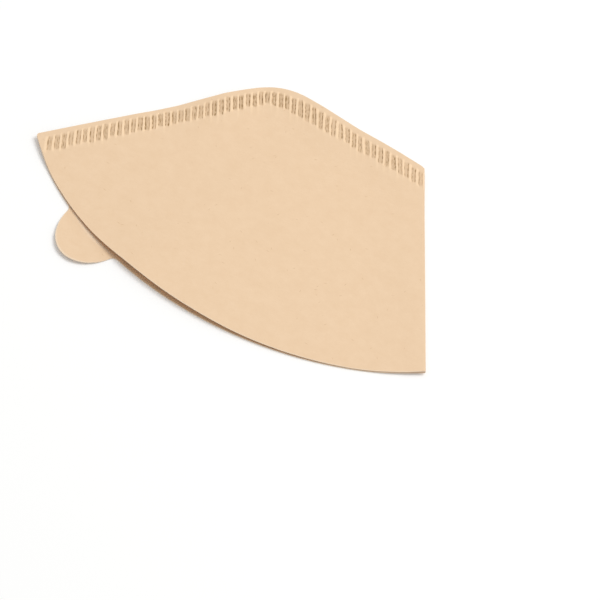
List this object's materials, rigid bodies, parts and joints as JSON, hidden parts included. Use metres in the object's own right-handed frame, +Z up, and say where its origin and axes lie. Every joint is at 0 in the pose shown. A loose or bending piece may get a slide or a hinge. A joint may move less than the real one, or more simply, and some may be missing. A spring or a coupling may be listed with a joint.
{
  "type": "paper coffee filter",
  "caption": "Wedge-shaped paper coffee filter, folded flat, with a crimped side and bottom seam, an open arched mouth and a rounded finger tab on its back ply.",
  "frame": {"origin": "under the middle of the flat filter's rectangle, on the surface it lies on", "axes": "+X across the mouth, from the crimped side to the fold; +Y from the mouth to the short bottom seam; +Z up, from the back ply with the tab to the front ply"},
  "size_m": [0.1337, 0.112, 0.0021],
  "materials": {
    "unbleached_paper": "unbleached brown crepe filter paper, matt"
  },
  "bodies": {
    "root": {"filter_paper": "unbleached_paper"}
  },
  "joints": []
}
